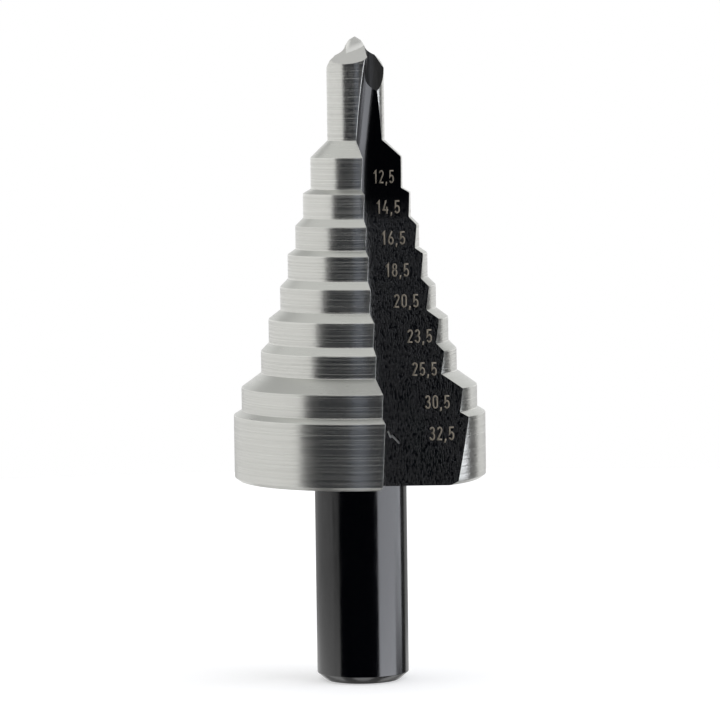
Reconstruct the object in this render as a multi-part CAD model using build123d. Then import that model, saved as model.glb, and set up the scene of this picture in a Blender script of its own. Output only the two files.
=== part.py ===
from build123d import *
import math
import os

# A two-flute step drill, ground from one bar of high-speed steel. It stands on the end
# of its shank with the point up. Millimetres, +Z up, origin at the centre of the shank's
# end. One flute opens to the front (-Y), and the other half is the same, turned by 180
# degrees. Seen from the front, a place is given by x to the right, d towards the viewer
# (d = -y) and z upwards.

# Shank: a plain round bar, held in the chuck.
shank_diameter = 11.5
shank_length = 25.3  # from the end to the underside of the largest step
shank_chamfer_radial = 1.05
shank_chamfer_height = 0.95

# Steps from the largest up: diameter at the cutting edge, length of the round land, and
# height of the cone above it, which leads to the next diameter.
steps = [
    (32.5, 7.75, 0.60),
    (30.5, 2.84, 1.80),
    (25.5, 2.71, 1.03),
    (23.5, 2.95, 1.12),
    (20.5, 2.87, 1.00),
    (18.5, 3.01, 0.69),
    (16.5, 2.85, 1.00),
    (14.5, 3.00, 0.59),
    (12.5, 3.87, 2.10),
]
back_chamfer_radial = 0.65  # on the underside's rim
back_chamfer_height = 0.46
pilot_diameter = 8.2
overall_length = 80.4

# Relief: each half of the lands is turned about an axis set off from the drill's own, so
# the radius is largest at the cutting edge and falls towards the heel.
relief_offset = 0.36
relief_direction = 40.0  # degrees from the front towards the right
cutting_edge_angle = 8.0  # where the lands reach their full radius
halves_split_angle = 30.0  # inside the flute, where the two halves meet

# Flute: the floor is the wide face, which runs in towards the axis, turns over a large
# radius and runs out again along the pilot. The wall is the rake face.
floor_crossing_height = 62.4  # where the two straight runs of the floor would meet
floor_crossing_depth = 0.64  # and how far that is in front of the axis
floor_angle = 14.2
pilot_floor_angle = 7.6
floor_radius = 26.0
wall_offset = 4.04  # left of the axis, at the underside
wall_rake = 22.8
wall_lean = 3.2
root_radius = 2.1

# Point: each flank is a flat facet that falls away to the front and the left of its
# cutting lip. A second, steeper facet takes off its outer corner towards the heel.
flank_drop = 1.04  # below the tip, where the flank's plane crosses the axis
flank_slope = 31.0
flank_direction = -23.2  # downhill, in degrees from the front towards the right
heel_facet_slope = 52.5
heel_facet_direction = -100.0
heel_facet_left = 2.65  # a place on the heel facet, on the edge of the flank
heel_facet_front = 1.52

# Centre: the small raised tip between the two lips, which starts the hole. It is a cone
# flattened from front to back, with a wall on each side.
centre_side_slope = 30.0
centre_front_slope = 54.0
centre_wall_offset = 0.55  # right of the axis, at the tip
centre_wall_rake = 13.5
centre_wall_lean = 23.3
centre_depth = 3.0  # how far the cone reaches down into the drill

# Gash: the notch that thins the point. It is ground along a line that comes forward as it
# goes down. Its wall is the cutting lip's face, and its floor is flat.
gash_tilt = 38.0  # of that line, from the axis
gash_wall_offset = 0.22  # right of the axis, at the floor
gash_wall_rake = 18.7
gash_floor_depth = 2.70  # below the tip, square to the grinding line
gash_root_radius = 2.6

reach = overall_length  # how far each cutter goes beyond the drill


def turned(points):
    """A solid of revolution about Z from a closed outline of radius and height."""
    outline = Polyline(*[(r, z) for r, z in points], close=True)
    return revolve(Plane.XZ * make_face(outline), Axis.Z)


def across(angle, distance):
    """A place in plan: distance from the axis, angle from the front towards the right."""
    a = math.radians(angle)
    return distance * math.sin(a), -distance * math.cos(a)


def beyond(place, normal):
    """All that lies beyond a plane, on the side that its normal points to."""
    block = Box(2 * reach, 2 * reach, reach, align=(Align.CENTER, Align.CENTER, Align.MIN))
    return Plane(origin=place, z_dir=normal) * block


def right_of_wall(place, rake, lean):
    """All that lies to the right of a wall. Rake and lean are the two angles by which it
    turns away from a plane across the x axis."""
    normal = (1, math.tan(math.radians(rake)), -math.tan(math.radians(lean)))
    return beyond(place, normal)


def above_facet(place, slope, direction):
    """All that lies above a facet, which falls in a direction at a slope."""
    a = math.radians(slope)
    x, y = across(direction, math.sin(a))
    return beyond(place, (x, y, math.cos(a)))


def shank():
    """The round shank with its chamfered end."""
    r = shank_diameter / 2
    return turned(
        [
            (0, 0),
            (r - shank_chamfer_radial, 0),
            (r, shank_chamfer_height),
            (r, shank_length),
            (0, shank_length),
        ]
    )


def land_outline():
    """Radius and height of the lands, about the set-off axis of one half."""
    lost = relief_offset * math.cos(math.radians(relief_direction - cutting_edge_angle))
    z = shank_length
    largest = steps[0][0] / 2 - lost
    points = [(0, z), (largest - back_chamfer_radial, z)]
    z += back_chamfer_height
    for diameter, land_length, cone_height in steps:
        points.append((diameter / 2 - lost, z))
        z += land_length
        points.append((diameter / 2 - lost, z))
        z += cone_height
    pilot = pilot_diameter / 2 - lost
    return points + [(pilot, z), (pilot, overall_length), (0, overall_length)]


def relieved_lands():
    """Both halves of the lands, each about its own axis, joined inside the flutes."""
    x, y = across(relief_direction, relief_offset)
    side = Box(reach, reach, 2 * reach, align=(Align.MAX, Align.CENTER, Align.CENTER))
    side = Pos(0, 0, overall_length / 2) * Rot(0, 0, halves_split_angle) * side
    half = (Pos(x, y, 0) * turned(land_outline())) & side
    return half + Rot(0, 0, 180) * half


def above_flank():
    """What is ground off above one flank and its heel facet."""
    height = overall_length - flank_drop
    a = math.radians(flank_direction)
    run = heel_facet_front * math.cos(a) - heel_facet_left * math.sin(a)
    fall = run * math.tan(math.radians(flank_slope))
    corner = (-heel_facet_left, -heel_facet_front, height - fall)
    heel = above_facet(corner, heel_facet_slope, heel_facet_direction)
    return above_facet((0, 0, height), flank_slope, flank_direction) + heel


def centre():
    """The raised tip, with the body that joins it to the drill."""
    base = centre_depth / math.tan(math.radians(centre_side_slope))
    width = centre_depth / math.tan(math.radians(centre_front_slope))
    tip = Pos(0, 0, overall_length - centre_depth / 2) * Cone(base, 0, centre_depth)
    tip = scale(tip, by=(1, width / base, 1))
    place = (centre_wall_offset, 0, overall_length)
    side = right_of_wall(place, centre_wall_rake, -centre_wall_lean)
    return tip - side - Rot(0, 0, 180) * side


def flute():
    """What one flute takes away: the floor's profile, cut off at the rake face."""
    side_view = Plane(origin=(0, 0, 0), x_dir=(0, -1, 0), z_dir=(-1, 0, 0))
    low, high = shank_length - 10, overall_length + 10
    rise = math.tan(math.radians(floor_angle))
    fall = math.tan(math.radians(pilot_floor_angle))
    start = (floor_crossing_depth + (floor_crossing_height - low) * rise, low)
    end = (floor_crossing_depth + (high - floor_crossing_height) * fall, high)
    crossing = (floor_crossing_depth, floor_crossing_height)
    floor = FilletPolyline(start, crossing, end, radius=floor_radius)
    outside = Polyline(end, (reach / 2, high), (reach / 2, low), start)
    profile = side_view * make_face(floor + outside)
    cut = extrude(profile, reach, both=True)
    cut = cut & right_of_wall((-wall_offset, 0, shank_length), wall_rake, wall_lean)
    wall = cut.faces().sort_by(Axis.X)[0]
    root = [
        edge
        for edge in wall.edges()
        if low < edge.center().Z < high and edge.bounding_box().max.Y > 1 - reach / 2
    ]
    root = [edge for edge in root if edge.bounding_box().min.Y > 1 - reach / 2]
    return fillet(root, root_radius)


def gash():
    """What one gash takes away beside the centre of the point."""
    a = math.radians(gash_tilt)
    frame = Plane(
        origin=(0, 0, overall_length),
        x_dir=(1, 0, 0),
        z_dir=(0, -math.sin(a), -math.cos(a)),
    )
    far = reach / 4
    widening = (far + gash_floor_depth) * math.tan(math.radians(gash_wall_rake))
    top = (gash_wall_offset + widening, far)
    corner = (gash_wall_offset, -gash_floor_depth)
    out = (far, -gash_floor_depth)
    outline = FilletPolyline(top, corner, out, radius=gash_root_radius)
    outside = Polyline(out, (far, far), top)
    return extrude(frame * make_face(outline + outside), far, both=True)


def step_drill():
    """The whole drill: lands, point, flutes and shank in one solid."""
    half_turn = Rot(0, 0, 180)
    above = above_flank()
    body = relieved_lands() - above - half_turn * above
    body = body + centre()
    for cut in (flute(), gash()):
        body = body - cut - half_turn * cut
    return body + shank()


os.makedirs("parts", exist_ok=True)
export_step(step_drill(), "parts/step_drill.step")
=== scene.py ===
import math

import bmesh
import bpy
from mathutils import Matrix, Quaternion, Vector


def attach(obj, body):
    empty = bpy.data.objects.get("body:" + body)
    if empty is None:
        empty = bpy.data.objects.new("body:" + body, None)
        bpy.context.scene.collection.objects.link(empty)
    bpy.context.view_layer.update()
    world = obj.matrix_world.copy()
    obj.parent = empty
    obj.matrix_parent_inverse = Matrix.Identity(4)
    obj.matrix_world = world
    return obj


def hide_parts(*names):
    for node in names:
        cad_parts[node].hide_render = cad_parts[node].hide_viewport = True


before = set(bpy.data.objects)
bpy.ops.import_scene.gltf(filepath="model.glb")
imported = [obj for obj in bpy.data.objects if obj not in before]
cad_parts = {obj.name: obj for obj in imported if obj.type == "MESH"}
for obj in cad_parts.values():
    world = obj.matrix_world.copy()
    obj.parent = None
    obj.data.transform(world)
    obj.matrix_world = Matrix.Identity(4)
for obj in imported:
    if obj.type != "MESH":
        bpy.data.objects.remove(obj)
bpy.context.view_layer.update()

# Camera: a long lens half a metre in front of the drill, a little above its middle and
# looking down by 4.4 degrees. It is turned slightly, so the drill leans to the left.
lens_mm = 200.75
camera_place = Vector((0.000134, -0.500, 0.0789))
camera_aim = Vector((0.000134, 0, 0.04009))
camera_turn = 0.0136  # radians

bpy.ops.object.select_all(action="DESELECT")
bpy.ops.object.camera_add(location=camera_place)
camera = bpy.context.object
camera.name = "camera"
camera.data.lens = lens_mm
camera.data.sensor_width = 36
view_turn = (camera_aim - camera_place).to_track_quat("-Z", "Y")
camera.rotation_euler = (view_turn @ Quaternion((0, 0, 1), -camera_turn)).to_euler()
bpy.context.scene.camera = camera
bpy.context.scene.view_settings.view_transform = "Standard"


# Studio: the drill stands on a white table in a white tent. A black screen round the camera
# gives the dark band in the steel, and a large soft box on the right lights the black oxide.
tent_light = 0.95  # a little less than the white that the camera and the steel see
table_radius = 0.25
table_gap = 0.00002  # below the shank's end, so that the two don't share a plane
table_lift = 0.45  # a glow that only the camera sees, which makes the table white


def linear(hex_colour):
    """A colour written as sRGB hex, turned to linear red, green, blue and alpha."""
    parts = [int(hex_colour[i : i + 2], 16) / 255 for i in (0, 2, 4)]
    return [p / 12.92 if p <= 0.04045 else ((p + 0.055) / 1.055) ** 2.4 for p in parts] + [1]


def node(tree, kind, settings=(), values=(), links=()):
    """Adds a shader node with its settings and values, and links its inputs."""
    made = tree.nodes.new(kind)
    for name, value in dict(settings).items():
        setattr(made, name, value)
    for name, value in dict(values).items():
        made.inputs[name].default_value = value
    for name, source in dict(links).items():
        tree.links.new(source, made.inputs[name])
    return made


def new_material(name):
    """An empty material and its node tree."""
    made = bpy.data.materials.new(name)
    made.use_nodes = True
    made.node_tree.nodes.clear()
    return made, made.node_tree


def glow(name, hex_colour, strength):
    """A cloth that gives off an even light."""
    made, tree = new_material(name)
    light = node(
        tree,
        "ShaderNodeEmission",
        values={"Color": linear(hex_colour), "Strength": strength},
    )
    node(tree, "ShaderNodeOutputMaterial", links={"Surface": light.outputs["Emission"]})
    return made


def screen(name, radius, azimuths, elevations, finish):
    """A curved screen round the drill, between two azimuths and two elevations in degrees.
    Azimuth 0 is the front and 90 the right."""
    bpy.ops.object.select_all(action="DESELECT")
    bpy.ops.mesh.primitive_uv_sphere_add(segments=180, ring_count=90, radius=radius)
    made = bpy.context.object
    made.name = name
    bpy.ops.object.mode_set(mode="EDIT")
    bpy.ops.mesh.select_mode(type="FACE")
    bpy.ops.mesh.select_all(action="DESELECT")
    mesh = bmesh.from_edit_mesh(made.data)
    for face in mesh.faces:
        x, y, z = face.calc_center_median()
        azimuth = math.degrees(math.atan2(x, -y))
        if azimuth < azimuths[0]:
            azimuth += 360
        elevation = math.degrees(math.atan2(z, math.hypot(x, y)))
        kept = azimuth < azimuths[1] and elevations[0] < elevation < elevations[1]
        face.select_set(not kept)
    bmesh.update_edit_mesh(made.data)
    bpy.ops.mesh.delete(type="FACE")
    bpy.ops.object.mode_set(mode="OBJECT")
    made.data.materials.append(finish)
    made.visible_camera = False


world = bpy.data.worlds.new("white_tent")
bpy.context.scene.world = world
world.use_nodes = True
world.node_tree.nodes.clear()
tree = world.node_tree
white = linear("FFFFFF")
seen = node(tree, "ShaderNodeLightPath")
seen_or_mirrored = node(
    tree,
    "ShaderNodeMath",
    settings={"operation": "MAXIMUM"},
    links={0: seen.outputs["Is Camera Ray"], 1: seen.outputs["Is Glossy Ray"]},
)
tent = node(tree, "ShaderNodeBackground", values={"Color": white, "Strength": tent_light})
paper = node(tree, "ShaderNodeBackground", values={"Color": white, "Strength": 1})
both = node(
    tree,
    "ShaderNodeMixShader",
    links={
        0: seen_or_mirrored.outputs[0],
        1: tent.outputs["Background"],
        2: paper.outputs["Background"],
    },
)
node(tree, "ShaderNodeOutputWorld", links={"Surface": both.outputs[0]})

bpy.ops.object.select_all(action="DESELECT")
bpy.ops.mesh.primitive_circle_add(
    vertices=96, radius=table_radius, fill_type="NGON", location=(0, 0, -table_gap)
)
table = bpy.context.object
table.name = "white_table"
table_paint, tree = new_material("white_table_paint")
matt = node(tree, "ShaderNodeBsdfDiffuse", values={"Color": linear("F2F2F2")})
shine = node(tree, "ShaderNodeEmission", values={"Color": white, "Strength": table_lift})
seen = node(tree, "ShaderNodeLightPath")
lifted = node(
    tree,
    "ShaderNodeAddShader",
    links={0: matt.outputs["BSDF"], 1: shine.outputs["Emission"]},
)
either = node(
    tree,
    "ShaderNodeMixShader",
    links={0: seen.outputs["Is Camera Ray"], 1: matt.outputs["BSDF"], 2: lifted.outputs[0]},
)
node(tree, "ShaderNodeOutputMaterial", links={"Surface": either.outputs[0]})
table.data.materials.append(table_paint)
table.visible_glossy = False

# The screens, each with its distance, azimuths and elevations. A nearer one hides those
# behind it, and each cloth is as bright as the steel shows it in the photograph.
gap_cloth = glow("gap_cloth", "DCE6FF", 0.8)
for name, radius, azimuths, elevations, finish in (
    ("front_screen", 0.80, (-58, 42), (-62, 52), glow("blue_black_cloth", "8CA8F0", 0.01)),
    ("gap_above_camera", 0.79, (-10, 6), (36, 52), gap_cloth),
    ("gap_below_camera", 0.79, (-10, 6), (-62, -38), gap_cloth),
    ("right_screen", 0.80, (116, 136), (-62, 52), glow("dim_cloth", "FFFFFF", 0.07)),
    ("soft_box", 0.78, (42, 116), (-8, 45), glow("soft_box_cloth", "F4F7FF", 1.95)),
    ("soft_box_foot", 0.78, (42, 92), (-34, -8), glow("soft_box_foot", "F4F7FF", 2.6)),
    ("right_floor", 0.80, (42, 116), (-62, -8), glow("dark_floor", "FFFFFF", 0.12)),
    ("left_low", 0.78, (136, 284), (-8, -1), glow("grey_card", "FFFFFF", 0.42)),
    ("left_low_edge", 0.78, (284, 302), (-8, -1), glow("dark_card", "FFFFFF", 0.22)),
    ("left_floor", 0.80, (136, 302), (-62, -8), glow("white_floor", "FFFFFF", 0.9)),
    ("back_floor", 0.79, (150, 215), (-62, -28), glow("mid_grey_floor", "FFFFFF", 0.34)),
    ("low_ring", 0.80, (-180, 180), (-76, -62), glow("grey_floor", "FFFFFF", 0.26)),
    ("below", 0.80, (-180, 180), (-90, -76), glow("pale_floor", "FFFFFF", 1)),
    ("back_top_screen", 0.80, (140, 220), (50, 79), glow("grey_cloth", "FFFFFF", 0.36)),
    ("back_high_screen", 0.80, (190, 225), (28, 50), glow("pale_grey_cloth", "FFFFFF", 0.62)),
):
    screen(name, radius, azimuths, elevations, finish)


# Lands: the steps and the pilot, ground round from a bar of high-speed steel. Each half is
# turned about its own axis, set off by 0.36 mm, so it falls away behind its cutting edge.
mm = 0.001
overall_length = 80.4
shank_length = 25.3
steps = [
    (32.5, 7.75, 0.60),
    (30.5, 2.84, 1.80),
    (25.5, 2.71, 1.03),
    (23.5, 2.95, 1.12),
    (20.5, 2.87, 1.00),
    (18.5, 3.01, 0.69),
    (16.5, 2.85, 1.00),
    (14.5, 3.00, 0.59),
    (12.5, 3.87, 2.10),
]  # diameter, land length and height of the cone above
pilot_diameter = 8.2
spare_bar = 2  # above the tip, ground off with the point
back_chamfer = (0.65, 0.46)  # radial and height
relief_offset = 0.36
relief_direction = 40.0  # degrees from the front towards the right, as every direction is
cutting_edge_angle = 8.0
halves_split_angle = 30.0
halves_overlap = 0.1
corner_break = 0.11  # the grinding wheel leaves this small round at each step's corners
least_corner = 12  # degrees by which a ring's two faces differ before it is rounded
sides_of_round = 256
same_place = 1e-7  # metres, within which two points are taken as one


def pick(piece):
    """Selects a piece and nothing else."""
    bpy.ops.object.select_all(action="DESELECT")
    piece.select_set(True)
    bpy.context.view_layer.objects.active = piece


def in_plan(angle, distance):
    """Distance from the axis at an angle from the front towards the right, as x and y."""
    a = math.radians(angle)
    return distance * math.sin(a), -distance * math.cos(a)


def turned(name, outline, centre, finish, rounding):
    """A solid turned about a vertical axis from its radii and heights in millimetres, the
    lowest first, with its rings rounded."""
    bpy.ops.object.select_all(action="DESELECT")
    radius, height = outline[0]
    x, y = centre[0] * mm, centre[1] * mm
    bpy.ops.mesh.primitive_circle_add(
        vertices=sides_of_round,
        radius=radius * mm,
        fill_type="NGON",
        location=(x, y, height * mm),
    )
    made = bpy.context.object
    made.name = name
    bpy.ops.object.transform_apply(location=True, rotation=True, scale=True)
    bpy.ops.object.mode_set(mode="EDIT")
    bpy.ops.mesh.select_mode(type="FACE")
    bpy.ops.mesh.select_all(action="SELECT")
    for next_radius, next_height in outline[1:]:
        bpy.ops.mesh.extrude_region_move(
            TRANSFORM_OT_translate={"value": (0, 0, (next_height - height) * mm)}
        )
        growth = next_radius / radius
        bpy.ops.transform.resize(
            value=(growth, growth, 1), center_override=(x, y, next_height * mm)
        )
        radius, height = next_radius, next_height
    bpy.ops.mesh.select_all(action="SELECT")
    bpy.ops.mesh.normals_make_consistent(inside=False)
    bpy.ops.mesh.select_mode(type="EDGE")
    bpy.ops.mesh.select_all(action="DESELECT")
    mesh = bmesh.from_edit_mesh(made.data)
    for edge in mesh.edges:
        level = abs(edge.verts[0].co.z - edge.verts[1].co.z) < same_place
        edge.select_set(level and edge.calc_face_angle(0) > math.radians(least_corner))
    bmesh.update_edit_mesh(made.data)
    bpy.ops.mesh.bevel(offset=rounding * mm, segments=3, profile=0.5, affect="EDGES")
    bpy.ops.object.mode_set(mode="OBJECT")
    made.data.materials.append(finish)
    return made


def trim(piece, place, outward):
    """Cuts a solid at a plane through a place in millimetres and closes it, keeping what
    lies behind the outward normal."""
    pick(piece)
    bpy.ops.object.mode_set(mode="EDIT")
    bpy.ops.mesh.select_all(action="SELECT")
    bpy.ops.mesh.bisect(
        plane_co=[c * mm for c in place],
        plane_no=outward,
        use_fill=True,
        clear_outer=True,
        threshold=same_place,
    )
    bpy.ops.mesh.select_all(action="SELECT")
    bpy.ops.mesh.normals_make_consistent(inside=False)
    bpy.ops.object.mode_set(mode="OBJECT")


def half_turned(piece):
    """A copy of a piece with its own mesh, turned by half a turn about the drill's axis."""
    pick(piece)
    bpy.ops.object.duplicate()
    made = bpy.context.object
    bpy.ops.object.mode_set(mode="EDIT")
    bpy.ops.mesh.select_all(action="SELECT")
    bpy.ops.transform.rotate(value=math.pi, orient_axis="Z", center_override=(0, 0, 0))
    bpy.ops.object.mode_set(mode="OBJECT")
    return made


def combine(piece, other, operation):
    """Joins a second solid to a piece, or cuts it away, and removes the second."""
    pick(piece)
    step = piece.modifiers.new("cut", "BOOLEAN")
    step.operation = operation
    step.solver = "EXACT"
    step.object = other
    step.material_mode = "TRANSFER"
    bpy.ops.object.modifier_apply(modifier=step.name)
    bpy.data.objects.remove(other)


# Ground steel: high-speed steel whose fine grinding lines run round it. Each line spreads
# its reflection up and down, some wider than others, so lines show where it mirrors black.
# The real lines, some hundredths of a millimetre apart, are drawn coarser so that they show.
line_spacing = 0.38 * mm
line_length = 83.33 * mm
chatter_spacing = line_spacing / 3.5
chatter_length = 1.11 * mm
ground_steel, tree = new_material("ground_high_speed_steel")
place = node(tree, "ShaderNodeTexCoord").outputs["Object"]
line_place = node(
    tree,
    "ShaderNodeMapping",
    values={"Scale": (1 / line_length, 1 / line_length, 1 / line_spacing)},
    links={"Vector": place},
)
lines = node(
    tree,
    "ShaderNodeTexNoise",
    values={"Scale": 1, "Detail": 2, "Roughness": 0.6},
    links={"Vector": line_place.outputs["Vector"]},
)
chatter_place = node(
    tree,
    "ShaderNodeMapping",
    values={"Scale": (1 / chatter_length, 1 / chatter_length, 1 / chatter_spacing)},
    links={"Vector": place},
)
chatter = node(
    tree,
    "ShaderNodeTexNoise",
    values={"Scale": 1, "Detail": 2, "Roughness": 0.5},
    links={"Vector": chatter_place.outputs["Vector"]},
)
mixed_lines = node(
    tree,
    "ShaderNodeMix",
    values={0: 0.08},
    links={2: lines.outputs["Fac"], 3: chatter.outputs["Fac"]},
)
line_roughness = node(
    tree,
    "ShaderNodeMapRange",
    values={"From Min": 0.4, "From Max": 0.65, "To Min": 0.31, "To Max": 0.4},
    links={"Value": mixed_lines.outputs[0]},
)
ridges = node(
    tree,
    "ShaderNodeMapRange",
    values={"From Min": 0.42, "From Max": 0.6, "To Min": 0, "To Max": 1},
    links={"Value": mixed_lines.outputs[0]},
)
line_height = node(
    tree,
    "ShaderNodeBump",
    values={"Strength": 0.7, "Distance": 0.04 * mm},
    links={"Height": ridges.outputs["Result"]},
)
grain_direction = node(
    tree, "ShaderNodeTangent", settings={"direction_type": "RADIAL", "axis": "Z"}
)
steel = node(
    tree,
    "ShaderNodeBsdfPrincipled",
    values={
        "Base Color": linear("DEDED9"),
        "Metallic": 1,
        "Anisotropic": 1,
        "Anisotropic Rotation": 0.25,
    },
    links={
        "Roughness": line_roughness.outputs["Result"],
        "Normal": line_height.outputs["Normal"],
        "Tangent": grain_direction.outputs["Tangent"],
    },
)
node(tree, "ShaderNodeOutputMaterial", links={"Surface": steel.outputs["BSDF"]})

# Ground cone: the same steel, where the wheel's dressed edge ground the cones smoother, so
# they mirror more evenly. Its base colour is darker than the lands' steel, painted shade that
# makes the cones look greyer.
cone_line_length = 6.667 * mm
shaded_cone_finish, tree = new_material("ground_high_speed_steel_cone_painted_shade")
place = node(tree, "ShaderNodeTexCoord").outputs["Object"]
cone_place = node(
    tree,
    "ShaderNodeMapping",
    values={"Scale": (1 / cone_line_length, 1 / cone_line_length, 1 / line_spacing)},
    links={"Vector": place},
)
cone_lines = node(
    tree,
    "ShaderNodeTexNoise",
    values={"Scale": 1, "Detail": 3, "Roughness": 0.6},
    links={"Vector": cone_place.outputs["Vector"]},
)
cone_roughness = node(
    tree,
    "ShaderNodeMapRange",
    values={"From Min": 0.35, "From Max": 0.65, "To Min": 0.27, "To Max": 0.33},
    links={"Value": cone_lines.outputs["Fac"]},
)
# A darker steel colour than the lands' DEDED9: painted shade on the cones.
shaded_cone_steel = node(
    tree,
    "ShaderNodeBsdfPrincipled",
    values={"Base Color": linear("BCBDB8"), "Metallic": 1},
    links={"Roughness": cone_roughness.outputs["Result"]},
)
node(tree, "ShaderNodeOutputMaterial", links={"Surface": shaded_cone_steel.outputs["BSDF"]})

lost = relief_offset * math.cos(math.radians(relief_direction - cutting_edge_angle))
climb = shank_length
outline = [(steps[0][0] / 2 - lost - back_chamfer[0], climb)]
climb += back_chamfer[1]
for diameter, land_length, cone_height in steps:
    outline.append((diameter / 2 - lost, climb))
    climb += land_length
    outline.append((diameter / 2 - lost, climb))
    climb += cone_height
pilot_radius = pilot_diameter / 2 - lost
outline += [(pilot_radius, climb), (pilot_radius, overall_length + spare_bar)]
relief_centre = in_plan(relief_direction, relief_offset)
drill = turned("drill", outline, relief_centre, ground_steel, corner_break)
split_x, split_y = in_plan(halves_split_angle + 90, 1)
trim(drill, (split_x * halves_overlap, split_y * halves_overlap, 0), (split_x, split_y, 0))
combine(drill, half_turned(drill), "UNION")


# Point: two flat facets ground on each half, a shallow flank that falls away from the
# cutting lip and a steeper one at the heel. Between them stands the small raised tip.
flank_drop = 1.04  # below the tip, where the flank's plane crosses the axis
flank_slope = 31.0
flank_direction = -23.2
heel_facet_slope = 52.5
heel_facet_direction = -100.0
heel_facet_corner = (2.65, 1.52)  # left of the axis and in front of it
centre_side_slope = 30.0
centre_front_slope = 54.0
centre_wall_offset = 0.55
centre_wall_rake = 13.5
centre_wall_lean = 23.3
centre_depth = 3.0

# Ground facet: high-speed steel with faint straight marks from the side of the wheel, so
# it looks matt and evenly pale.
facet_mark_width = 0.2 * mm
facet_mark_length = 1.43 * mm
ground_facet, tree = new_material("ground_high_speed_steel_facet")
place = node(tree, "ShaderNodeTexCoord").outputs["Object"]
facet_place = node(
    tree,
    "ShaderNodeMapping",
    values={"Scale": (1 / facet_mark_length, 1 / facet_mark_width, 1 / facet_mark_width)},
    links={"Vector": place},
)
facet_lines = node(
    tree,
    "ShaderNodeTexNoise",
    values={"Scale": 1, "Detail": 3, "Roughness": 0.6},
    links={"Vector": facet_place.outputs["Vector"]},
)
facet_height = node(
    tree,
    "ShaderNodeBump",
    values={"Strength": 0.25, "Distance": 0.01 * mm},
    links={"Height": facet_lines.outputs["Fac"]},
)
facet_steel = node(
    tree,
    "ShaderNodeBsdfPrincipled",
    values={"Base Color": linear("DCDCD8"), "Metallic": 1, "Roughness": 0.55},
    links={"Normal": facet_height.outputs["Normal"]},
)
node(tree, "ShaderNodeOutputMaterial", links={"Surface": facet_steel.outputs["BSDF"]})


def block(name, low, high, finish):
    """A block between two corners in millimetres, x to the right, y back, z up."""
    bpy.ops.object.select_all(action="DESELECT")
    middle = [(a + b) / 2 * mm for a, b in zip(low, high)]
    bpy.ops.mesh.primitive_cube_add(size=1, location=middle)
    made = bpy.context.object
    made.name = name
    made.scale = [(b - a) * mm for a, b in zip(low, high)]
    bpy.ops.object.transform_apply(location=True, rotation=True, scale=True)
    made.data.materials.append(finish)
    return made


def downhill(slope, direction):
    """The upward normal of a facet that falls in a direction at a slope."""
    a = math.radians(slope)
    x, y = in_plan(direction, math.sin(a))
    return Vector((x, y, math.cos(a)))


flank_up = downhill(flank_slope, flank_direction)
heel_up = downhill(heel_facet_slope, heel_facet_direction)
flank_height = overall_length - flank_drop
left, front = heel_facet_corner
corner_height = flank_height + (left * flank_up.x + front * flank_up.y) / flank_up.z
for facet_at, up in (
    ((0, 0, flank_height), flank_up),
    ((-left, -front, corner_height), heel_up),
):
    ground_off = block("ground_off", (-9, -9, 70), (9, 9, 90), ground_facet)
    trim(ground_off, facet_at, -up)
    other_ground_off = half_turned(ground_off)
    combine(drill, ground_off, "DIFFERENCE")
    combine(drill, other_ground_off, "DIFFERENCE")

centre_base = centre_depth / math.tan(math.radians(centre_side_slope))
centre_width = centre_depth / math.tan(math.radians(centre_front_slope))
bpy.ops.object.select_all(action="DESELECT")
bpy.ops.mesh.primitive_cone_add(
    vertices=192,
    radius1=centre_base * mm,
    radius2=0,
    depth=centre_depth * mm,
    location=(0, 0, (overall_length - centre_depth / 2) * mm),
)
centre = bpy.context.object
centre.name = "centre"
centre.scale = (1, centre_width / centre_base, 1)
bpy.ops.object.transform_apply(location=True, rotation=True, scale=True)

# Ground centre: the facets' steel, ground last, with a lighter base colour: painted light
# that makes the raised tip look brighter.
lit_centre_finish = ground_facet.copy()
lit_centre_finish.name = "ground_high_speed_steel_centre_painted_light"
lit_centre_steel = lit_centre_finish.node_tree.nodes["Principled BSDF"]
# A lighter steel colour than the facets' DCDCD8: painted light on the tip.
lit_centre_steel.inputs["Base Color"].default_value = linear("EAEAE6")
centre.data.materials.append(lit_centre_finish)
wall_out = Vector(
    (1, math.tan(math.radians(centre_wall_rake)), math.tan(math.radians(centre_wall_lean)))
).normalized()
trim(centre, (centre_wall_offset, 0, overall_length), wall_out)
other_wall_out = Vector((-wall_out.x, -wall_out.y, wall_out.z))
trim(centre, (-centre_wall_offset, 0, overall_length), other_wall_out)
combine(drill, centre, "UNION")


# Flutes: two deep grooves milled before the drill was blackened. Each has a wide face that
# slopes in towards the axis and out again along the pilot, and a wall, the rake face.
floor_crossing = (0.64, 62.4)  # in front of the axis, height
floor_angle = 14.2
pilot_floor_angle = 7.6
floor_radius = 26.0
wall_place = (-4.04, 25.3)  # right of the axis, height
wall_rake = 22.8
wall_lean = 3.2
root_radius = 2.1
root_profile = 0.47  # of the bevel, where 0.5 is a true round
same_way = 0.9999  # the least cosine between two normals taken as one

# Milled oxide: a thin black iron oxide over steel, with the cutter's short upright marks on
# the floor's straight run, greyer where they are worn. The curved run above is smooth.
mill_mark_width = 0.15 * mm
mill_mark_length = 8 * mm
smooth_above, marked_below = 60.5 * mm, 57.5 * mm
black_oxide, tree = new_material("black_oxide_milled_flute")
place = node(tree, "ShaderNodeTexCoord").outputs["Object"]
mill_place = node(
    tree,
    "ShaderNodeMapping",
    values={"Scale": (1 / mill_mark_width, 1 / mill_mark_width, 1 / mill_mark_length)},
    links={"Vector": place},
)
mill_marks = node(
    tree,
    "ShaderNodeTexNoise",
    values={"Scale": 1, "Detail": 2, "Roughness": 0.6},
    links={"Vector": mill_place.outputs["Vector"]},
)
height_above_table = node(tree, "ShaderNodeSeparateXYZ", links={0: place})
marked_run = node(
    tree,
    "ShaderNodeMapRange",
    values={"From Min": smooth_above, "From Max": marked_below, "To Min": 0, "To Max": 1},
    links={"Value": height_above_table.outputs["Z"]},
)
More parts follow.
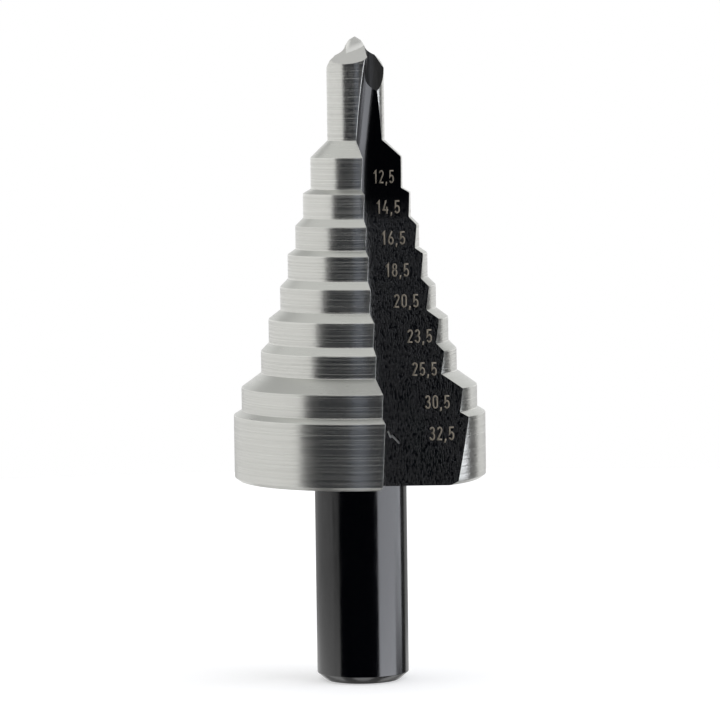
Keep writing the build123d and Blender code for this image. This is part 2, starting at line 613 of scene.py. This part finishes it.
scratches = node(
    tree,
    "ShaderNodeMapRange",
    values={"From Min": 0.46, "From Max": 0.54, "To Min": 0, "To Max": 1},
    links={"Value": mill_marks.outputs["Fac"]},
)
scratched = node(
    tree,
    "ShaderNodeMath",
    settings={"operation": "MULTIPLY"},
    links={0: scratches.outputs["Result"], 1: marked_run.outputs["Result"]},
)
oxide_shade = node(
    tree,
    "ShaderNodeMix",
    settings={"data_type": "RGBA"},
    values={6: linear("010101"), 7: linear("2C2C2B")},
    links={0: scratched.outputs[0]},
)
mill_height = node(
    tree,
    "ShaderNodeBump",
    values={"Strength": 0.5, "Distance": 0.02 * mm},
    links={"Height": scratched.outputs[0]},
)
oxide = node(
    tree,
    "ShaderNodeBsdfPrincipled",
    values={"Roughness": 0.22, "IOR": 1.8},
    links={"Base Color": oxide_shade.outputs[2], "Normal": mill_height.outputs["Normal"]},
)
node(tree, "ShaderNodeOutputMaterial", links={"Surface": oxide.outputs["BSDF"]})


def round_edges(piece, first, second, radius, segments, profile=0.5, likeness=same_way):
    """Rounds the edges where a face along the first normal meets one along the second, or
    near it where the likeness is lower. The offset is that of a round with this radius at
    the sharpest of them."""
    pick(piece)
    bpy.ops.object.mode_set(mode="EDIT")
    bpy.ops.mesh.select_mode(type="EDGE")
    bpy.ops.mesh.select_all(action="DESELECT")
    mesh = bmesh.from_edit_mesh(piece.data)
    widest = 0
    for edge in mesh.edges:
        for one, two in (edge.link_faces, reversed(edge.link_faces)):
            if one.normal.dot(first) > same_way and two.normal.dot(second) > likeness:
                edge.select_set(True)
                widest = max(widest, edge.calc_face_angle())
    bmesh.update_edit_mesh(piece.data)
    bpy.ops.mesh.bevel(
        offset=radius * math.tan(widest / 2) * mm,
        segments=segments,
        profile=profile,
        affect="EDGES",
        clamp_overlap=False,
    )
    bpy.ops.object.mode_set(mode="OBJECT")


flute = block("flute", (-60, -60, 15), (60, 0, 90), black_oxide)
rise = math.tan(math.radians(floor_angle))
fall = math.tan(math.radians(pilot_floor_angle))
floor_place = (0, -floor_crossing[0], floor_crossing[1])
low_floor = Vector((0, 1, -rise)).normalized()
high_floor = Vector((0, 1, fall)).normalized()
trim(flute, floor_place, low_floor)
trim(flute, floor_place, high_floor)
round_edges(flute, low_floor, high_floor, floor_radius, 24)
wall_normal = Vector(
    (-1, -math.tan(math.radians(wall_rake)), math.tan(math.radians(wall_lean)))
).normalized()
trim(flute, (wall_place[0], 0, wall_place[1]), wall_normal)
straight_back = Vector((0, 1, 0))
round_edges(flute, wall_normal, straight_back, root_radius, 12, root_profile, 0.9)
other_flute = half_turned(flute)
combine(drill, flute, "DIFFERENCE")
combine(drill, other_flute, "DIFFERENCE")


# Gashes: two small notches ground beside the centre, which thin the point so that it
# starts without wandering. Their wall is the cutting lip's face.
gash_tilt = 38.0
gash_wall_offset = 0.22
gash_wall_rake = 18.7
gash_floor_depth = 2.70
gash_root_radius = 2.6

# Gash oxide: the black oxide is thinner here, over the fine upright marks of the wheel's
# rim, so it mirrors less than the flute does and shows faint streaks.
gash_mark_width = 0.1923 * mm
gash_mark_length = 3.333 * mm
gash_oxide, tree = new_material("black_oxide_ground_gash")
place = node(tree, "ShaderNodeTexCoord").outputs["Object"]
gash_place = node(
    tree,
    "ShaderNodeMapping",
    values={"Scale": (1 / gash_mark_width, 1 / gash_mark_length, 1 / gash_mark_length)},
    links={"Vector": place},
)
gash_lines = node(
    tree,
    "ShaderNodeTexNoise",
    values={"Scale": 1, "Detail": 4, "Roughness": 0.65},
    links={"Vector": gash_place.outputs["Vector"]},
)
gash_height = node(
    tree,
    "ShaderNodeBump",
    values={"Strength": 0.8, "Distance": 0.03 * mm},
    links={"Height": gash_lines.outputs["Fac"]},
)
gash_streaks = node(
    tree,
    "ShaderNodeMapRange",
    values={"From Min": 0.4, "From Max": 0.62, "To Min": 0, "To Max": 1},
    links={"Value": gash_lines.outputs["Fac"]},
)
gash_shade = node(
    tree,
    "ShaderNodeMix",
    settings={"data_type": "RGBA"},
    values={6: linear("010101"), 7: linear("1C1C1C")},
    links={0: gash_streaks.outputs["Result"]},
)
gash_shader = node(
    tree,
    "ShaderNodeBsdfPrincipled",
    values={"Roughness": 0.3, "IOR": 1.28},
    links={"Base Color": gash_shade.outputs[2], "Normal": gash_height.outputs["Normal"]},
)
node(tree, "ShaderNodeOutputMaterial", links={"Surface": gash_shader.outputs["BSDF"]})

tilt = math.radians(gash_tilt)
square_up = Vector((0, -math.cos(tilt), math.sin(tilt)))
leaning = square_up * math.tan(math.radians(gash_wall_rake))
gash_wall = (leaning - Vector((1, 0, 0))).normalized()
corner = Vector((gash_wall_offset, 0, overall_length)) - square_up * gash_floor_depth
gash = block("gash", (-8, -20, 60), (25, 20, 100), gash_oxide)
trim(gash, corner, -square_up)
trim(gash, corner, gash_wall)
round_edges(gash, -square_up, gash_wall, gash_root_radius, 16)
other_gash = half_turned(gash)
combine(drill, gash, "DIFFERENCE")
combine(drill, other_gash, "DIFFERENCE")


# Nicks: two scratches on the wide face beside the largest cutting edge, where the bright
# steel shows through the black oxide.
nicks = [
    (3.46, 31.93, 3.81, 31.08, 0.2),
    (3.89, 31.45, 4.87, 30.41, 0.24),
]  # from and to, each as right and height, and the width
nick_depth = 0.05
for x1, z1, x2, z2, wide in nicks:
    length = math.hypot(x2 - x1, z2 - z1)
    low, high = (-wide / 2, -1, -length / 2), (wide / 2, nick_depth, length / 2)
    nick = block("nick", low, high, ground_facet)
    middle_x, middle_z = (x1 + x2) / 2, (z1 + z2) / 2
    depth = floor_crossing[0] + (floor_crossing[1] - middle_z) * rise
    nick.rotation_euler = (-math.radians(floor_angle), -math.atan2(x2 - x1, z1 - z2), 0)
    nick.location = (middle_x * mm, -depth * mm, middle_z * mm)
    bpy.ops.object.transform_apply(location=True, rotation=True, scale=True)
    combine(drill, nick, "DIFFERENCE")


# Shank: the plain round end that the chuck holds, left black from the oxide bath, with a
# turned chamfer at its end.
shank_diameter = 11.5
shank_chamfer = (1.05, 0.95)  # radial and height
shank_corner_break = 0.05
shank_tenon = 1  # how far it reaches up into the largest step

# Turned oxide: the same black oxide over fine turned lines, smooth enough to mirror the
# soft box, with patches that the chuck's jaws have polished.
scuff_width = 0.6667 * mm
scuff_length = 3.846 * mm
turned_line_length = 25 * mm
black_shank, tree = new_material("black_oxide_turned_shank")
place = node(tree, "ShaderNodeTexCoord").outputs["Object"]
scuff_place = node(
    tree,
    "ShaderNodeMapping",
    values={"Scale": (1 / scuff_width, 1 / scuff_width, 1 / scuff_length)},
    links={"Vector": place},
)
scuffs = node(
    tree,
    "ShaderNodeTexNoise",
    values={"Scale": 1, "Detail": 3, "Roughness": 0.6},
    links={"Vector": scuff_place.outputs["Vector"]},
)
scuff_roughness = node(
    tree,
    "ShaderNodeMapRange",
    values={"From Min": 0.35, "From Max": 0.65, "To Min": 0.12, "To Max": 0.19},
    links={"Value": scuffs.outputs["Fac"]},
)
turned_place = node(
    tree,
    "ShaderNodeMapping",
    values={"Scale": (1 / turned_line_length, 1 / turned_line_length, 1 / line_spacing)},
    links={"Vector": place},
)
turned_lines = node(
    tree,
    "ShaderNodeTexNoise",
    values={"Scale": 1, "Detail": 2, "Roughness": 0.5},
    links={"Vector": turned_place.outputs["Vector"]},
)
turned_height = node(
    tree,
    "ShaderNodeBump",
    values={"Strength": 0.1, "Distance": 0.005 * mm},
    links={"Height": turned_lines.outputs["Fac"]},
)
shank_oxide = node(
    tree,
    "ShaderNodeBsdfPrincipled",
    values={"Base Color": linear("040405"), "IOR": 1.9},
    links={
        "Roughness": scuff_roughness.outputs["Result"],
        "Normal": turned_height.outputs["Normal"],
    },
)
node(tree, "ShaderNodeOutputMaterial", links={"Surface": shank_oxide.outputs["BSDF"]})

shank_radius = shank_diameter / 2
shank_outline = [
    (shank_radius - shank_chamfer[0], 0),
    (shank_radius, shank_chamfer[1]),
    (shank_radius, shank_length + shank_tenon),
]
shank = turned("shank", shank_outline, (0, 0), black_shank, shank_corner_break)
combine(drill, shank, "UNION")


# Edges: grinding the lands takes the oxide off along each cutting edge and leaves a bright
# hairline there. The cones get their smoother finish with its darker, painted-shade colour,
# and round surfaces are shaded smooth.
hairline = 0.05
merge_distance = 1e-6  # metres
cone_rise = 0.5  # a steel face whose normal points up by more than this is on a cone
rake_turn = 0.15  # an oxide face whose normal turns sideways by more is a rake face
smooth_below = 24  # degrees
pick(drill)
drill.name = "drill_body"
drill.data.materials.append(shaded_cone_finish)
steel_slot = drill.data.materials.find(ground_steel.name)
shaded_cone_slot = drill.data.materials.find(shaded_cone_finish.name)
oxide_slot = drill.data.materials.find(black_oxide.name)
facet_slot = drill.data.materials.find(ground_facet.name)
turned_steel = {steel_slot, shaded_cone_slot}

bpy.ops.object.mode_set(mode="EDIT")
bpy.ops.mesh.select_all(action="SELECT")
bpy.ops.mesh.remove_doubles(threshold=merge_distance)
bpy.ops.mesh.normals_make_consistent(inside=False)
bpy.ops.mesh.select_mode(type="EDGE")
bpy.ops.mesh.select_all(action="DESELECT")
mesh = bmesh.from_edit_mesh(drill.data)
# Steel faces that point up take the cone finish, whose darker colour is painted shade.
for face in mesh.faces:
    if face.material_index == steel_slot and face.normal.z > cone_rise:
        face.material_index = shaded_cone_slot
for edge in mesh.edges:
    land, groove = sorted(edge.link_faces, key=lambda face: face.material_index == oxide_slot)
    in_front = groove.calc_center_median().y < 0
    sideways = groove.normal.x if in_front else -groove.normal.x
    meets = land.material_index in turned_steel and groove.material_index == oxide_slot
    edge.select_set(meets and sideways > rake_turn)
bmesh.update_edit_mesh(drill.data)
bpy.ops.mesh.bevel(offset=hairline * mm, segments=1, affect="EDGES", material=facet_slot)
bpy.ops.object.mode_set(mode="OBJECT")
bpy.ops.object.shade_smooth_by_angle(angle=math.radians(smooth_below))
bpy.ops.object.mode_set(mode="EDIT")
mesh = bmesh.from_edit_mesh(drill.data)
for edge in mesh.edges:
    finishes = {face.material_index for face in edge.link_faces}
    if len(finishes) == 2 and finishes != turned_steel:
        edge.smooth = False
bmesh.update_edit_mesh(drill.data)
bpy.ops.object.mode_set(mode="OBJECT")
weighting = drill.modifiers.new("weighting", "WEIGHTED_NORMAL")
weighting.keep_sharp = True
bpy.ops.object.modifier_apply(modifier=weighting.name)
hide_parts("step_drill")
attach(drill, "root")


# Numbers: each step's diameter in millimetres, marked on the wide face beside it by a
# laser, which leaves a matt beige-grey stroke. The figures are upright and narrow.
figure_height = 1.72
mark_rows = [
    ("12,5", 2.10, 62.14, 0.87),
    ("14,5", 2.42, 58.39, 1),
    ("16,5", 3.01, 54.57, 1),
    ("18,5", 3.43, 50.63, 1),
    ("20,5", 4.40, 46.86, 1),
    ("23,5", 5.99, 42.55, 1),
    ("25,5", 6.52, 38.54, 1),
    ("30,5", 8.05, 34.53, 1),
    ("32,5", 8.53, 30.72, 1),
]  # number, left end, height of its foot, how wide it is drawn
stroke_proud = 0.012
stroke_thickness = 0.03
laid_from = 1.5  # in front of the wide face, from where a number is laid on it

# Within a figure, every place is a share of the figure's height.
stroke_width = 0.11
digit_pitch = 0.53
one_pitch = 0.4452  # after a 1, which is narrower
comma_pitch = 0.54  # from the left of a digit to its comma
after_comma = 0.30
arc_step = 18  # degrees
touching = 1e-4

# A figure is a list of strokes. A stroke goes through places, and an arc in it is given by
# its middle, its two radii and its first and last angle.
figures = {
    "0": [
        [
            (0.21, 0.72, 0.145, 0.215, 0, 180),
            (0.21, 0.28, 0.145, 0.215, 180, 360),
            (0.355, 0.72),
        ],
    ],
    "1": [[(0.03, 0.74), (0.2, 0.93), (0.2, 0.0)]],
    "2": [[(0.21, 0.74, 0.145, 0.195, 170, -35), (0.065, 0.065), (0.375, 0.065)]],
    "3": [
        [(0.2, 0.74, 0.135, 0.195, 165, -75), (0.15, 0.53)],
        [(0.15, 0.53), (0.2, 0.29, 0.155, 0.235, 75, -165)],
    ],
    "4": [[(0.25, 1.0), (0.045, 0.27), (0.41, 0.27)], [(0.3, 0.52), (0.3, 0.0)]],
    "5": [[(0.38, 0.935), (0.1, 0.935), (0.09, 0.5), (0.2, 0.325, 0.155, 0.26, 120, -150)]],
    "6": [[(0.3, 1.0), (0.13, 0.62), (0.215, 0.305, 0.15, 0.245, 155, 515)]],
    "8": [
        [(0.21, 0.74, 0.125, 0.195, 270, 630)],
        [(0.21, 0.3, 0.15, 0.24, 90, 450)],
    ],
    ",": [[(0.1, 0.12), (0.035, -0.16)]],
}

# Laser mark: the laser burns the oxide to a matt beige-grey, mottled by fine speckles.
speckle = 0.2 * mm
laser_mark, tree = new_material("laser_marked_oxide")
mottling = node(
    tree,
    "ShaderNodeTexNoise",
    values={"Scale": 1 / speckle, "Detail": 2},
    links={"Vector": node(tree, "ShaderNodeTexCoord").outputs["Object"]},
)
mark_shade = node(
    tree,
    "ShaderNodeMix",
    settings={"data_type": "RGBA"},
    values={6: linear("7C7264"), 7: linear("B4AA98")},
    links={0: mottling.outputs["Fac"]},
)
mark = node(
    tree,
    "ShaderNodeBsdfPrincipled",
    values={"Roughness": 0.7},
    links={"Base Color": mark_shade.outputs[2]},
)
node(tree, "ShaderNodeOutputMaterial", links={"Surface": mark.outputs["BSDF"]})


def stroke_points(stroke):
    """The places that a stroke goes through, with each arc walked in small steps."""
    points = []
    for part in stroke:
        if len(part) == 2:
            points.append(part)
            continue
        x, y, wide, high, first, last = part
        count = max(4, round(abs(last - first) / arc_step))
        for i in range(count + 1):
            a = math.radians(first + (last - first) * i / count)
            points.append((x + wide * math.cos(a), y + high * math.sin(a)))
    return points


def pitch(figure, following):
    """How far the following figure starts from the left of this one."""
    if figure == "1":
        return one_pitch
    if figure == ",":
        return after_comma
    return comma_pitch if following == "," else digit_pitch


nib_line = bpy.data.curves.new("nib", "CURVE")
nib_spline = nib_line.splines.new("POLY")
nib_spline.points.add(1)
nib_spline.points[0].co = (-stroke_width / 2, 0, 0, 1)
nib_spline.points[1].co = (stroke_width / 2, 0, 0, 1)
nib = bpy.data.objects.new("nib", nib_line)
bpy.context.collection.objects.link(nib)

for number, left, foot, stretch in mark_rows:
    written = bpy.data.curves.new("written", "CURVE")
    written.dimensions = "2D"
    written.fill_mode = "NONE"
    written.bevel_mode = "OBJECT"
    written.bevel_object = nib
    start = 0
    for figure, following in zip(number, number[1:] + " "):
        for stroke in figures[figure]:
            points = stroke_points(stroke)
            spline = written.splines.new("POLY")
            spline.points.add(len(points) - 1)
            for point, (x, y) in zip(spline.points, points):
                point.co = (start + x, y, 0, 1)
        start += pitch(figure, following)
    marked = bpy.data.objects.new("size_mark_" + number.replace(",", "_"), written)
    bpy.context.collection.objects.link(marked)
    pick(marked)
    bpy.ops.object.convert(target="MESH")
    marked = bpy.context.object
    depth = floor_crossing[0] + (floor_crossing[1] - foot) * rise + laid_from
    bpy.ops.object.mode_set(mode="EDIT")
    bpy.ops.mesh.select_all(action="SELECT")
    bpy.ops.mesh.remove_doubles(threshold=touching)
    bpy.ops.transform.resize(
        value=(figure_height * stretch * mm, figure_height * mm, 1),
        center_override=(0, 0, 0),
    )
    bpy.ops.transform.rotate(
        value=-math.radians(90 - floor_angle), orient_axis="X", center_override=(0, 0, 0)
    )
    bpy.ops.transform.translate(value=(left * mm, -depth * mm, foot * mm))
    bpy.ops.object.mode_set(mode="OBJECT")
    laid = marked.modifiers.new("laid", "SHRINKWRAP")
    laid.target = drill
    laid.wrap_method = "PROJECT"
    laid.use_project_y = True
    laid.use_positive_direction = True
    laid.use_negative_direction = True
    laid.offset = stroke_proud * mm
    bpy.ops.object.modifier_apply(modifier=laid.name)
    thick = marked.modifiers.new("thick", "SOLIDIFY")
    thick.thickness = stroke_thickness * mm
    thick.offset = -1
    bpy.ops.object.modifier_apply(modifier=thick.name)
    marked.data.materials.append(laser_mark)
    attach(marked, "root")
bpy.data.objects.remove(nib)
